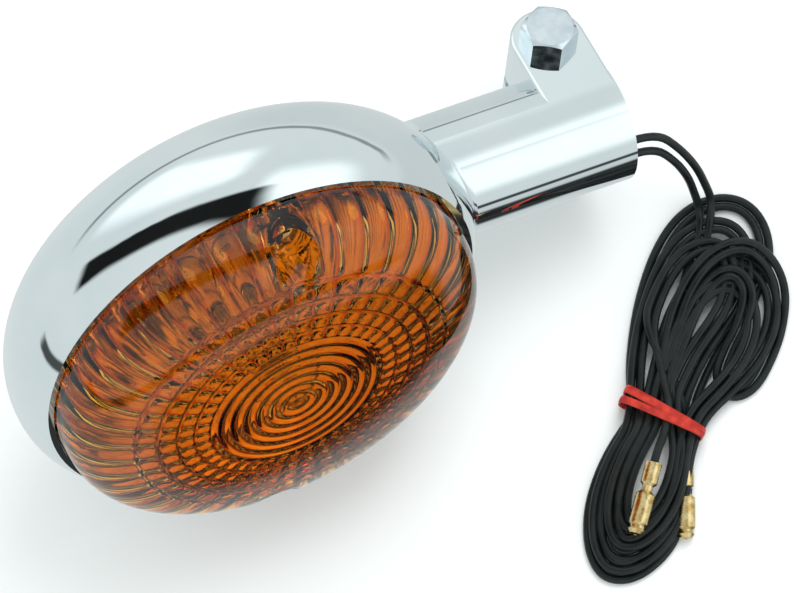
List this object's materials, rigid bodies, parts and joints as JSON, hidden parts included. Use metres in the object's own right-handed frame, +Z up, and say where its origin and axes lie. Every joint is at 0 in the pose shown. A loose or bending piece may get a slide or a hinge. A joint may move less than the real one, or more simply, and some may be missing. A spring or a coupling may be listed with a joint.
{
  "type": "motorcycle turn signal indicator",
  "caption": "Motorcycle turn signal: chromed bowl with a clamping hollow stem, fluted amber lens held by screws, bayonet bulb inside, and tied wires ending in bullet plugs.",
  "frame": {"origin": "bench level under the middle of the lamp and its stem, measured without the free wires, their hank and plugs", "axes": "+Z up from the bench; +X along the bench the way the stem points, from the bowl towards the clamped end; the lens looks to -Y and slightly up. The stem itself falls 13.8 degrees towards +X and the lamp is rolled back 20.2 degrees about it."},
  "size_m": [0.156, 0.11, 0.0943],
  "materials": {
    "chrome_shell": "mirror chrome plate on a smooth casting",
    "amber_lens": "glossy moulded amber, transparent",
    "bright_reflector": "bright polished",
    "seal_rubber": "matt black",
    "screw_steel": "bright plated",
    "zinc_steel": "zinc plated",
    "spring_steel": "drawn wire",
    "phenolic": "brown laminate",
    "contact_brass": "bare",
    "bulb_clear_glass": "clear",
    "bulb_cap_brass": "dull plated",
    "bulb_black_glass": "fused black glass",
    "solder": "soft dull",
    "filament_wire": "drawn wire",
    "bolt_chrome": "bright plated, crisp edges",
    "wire_pvc": "satin black insulation",
    "band_rubber": "red rubber, slightly translucent",
    "sleeving_black": "matt black",
    "plug_brass": "bare, lightly tarnished"
  },
  "bodies": {
    "lamp": {"housing": "chrome_shell", "reflector": "bright_reflector", "lens_gasket": "seal_rubber", "lens": "amber_lens", "socket_sleeve": "zinc_steel", "socket_rivets": "zinc_steel", "terminal_insulator": "phenolic", "signal_terminal": "contact_brass", "contact_spring": "spring_steel", "ground_tab": "zinc_steel", "clamp_washer": "zinc_steel", "clamp_nut": "zinc_steel", "signal_wire": "wire_pvc", "ground_wire": "wire_pvc", "signal_lead": "wire_pvc", "ground_lead": "wire_pvc", "signal_tail": "wire_pvc", "hank_band": "band_rubber", "wire_hank": "wire_pvc", "ground_sleeving": "sleeving_black", "signal_plug": "plug_brass", "ground_plug": "plug_brass"},
    "upper_screw": {"lens_screw_upper": "screw_steel"},
    "lower_screw": {"lens_screw_lower": "screw_steel"},
    "bolt": {"clamp_bolt": "bolt_chrome"},
    "contact": {"contact_disc": "phenolic", "contact_button": "contact_brass"},
    "bulb": {"bulb_glass": "bulb_clear_glass", "bulb_base": "bulb_cap_brass", "bulb_insulator": "bulb_black_glass", "bulb_tip": "solder", "bulb_bead": "bulb_clear_glass", "filament_supports": "filament_wire", "filament": "filament_wire"}
  },
  "joints": [
    {"name": "clamp_bolt_turn", "type": "hinge", "parent": "lamp", "child": "bolt", "pos_m": [0.05593, 0.02384, 0.01946], "axis": [0.2239, 0.3453, 0.9114], "continuous": true},
    {"name": "lens_screw_upper_turn", "type": "hinge", "parent": "lamp", "child": "upper_screw", "pos_m": [-0.00921, 0.00313, 0.08544], "axis": [0.0824, -0.9385, 0.3353], "continuous": true},
    {"name": "lens_screw_lower_turn", "type": "hinge", "parent": "lamp", "child": "lower_screw", "pos_m": [-0.02641, -0.02339, 0.01545], "axis": [0.0824, -0.9385, 0.3353], "continuous": true},
    {"name": "contact_push", "type": "slide", "parent": "lamp", "child": "contact", "axis": [-0.0824, 0.9385, -0.3353], "range_m": [0, 0.0015], "stiffness_N_per_m": 800, "springref_m": -0.004, "deforming": ["contact_spring"]},
    {"name": "bulb_twist", "type": "hinge", "parent": "contact", "child": "bulb", "pos_m": [-0.019, 0.00348, 0.04558], "axis": [0.0824, -0.9385, 0.3353], "range_deg": [0, 15]}
  ]
}
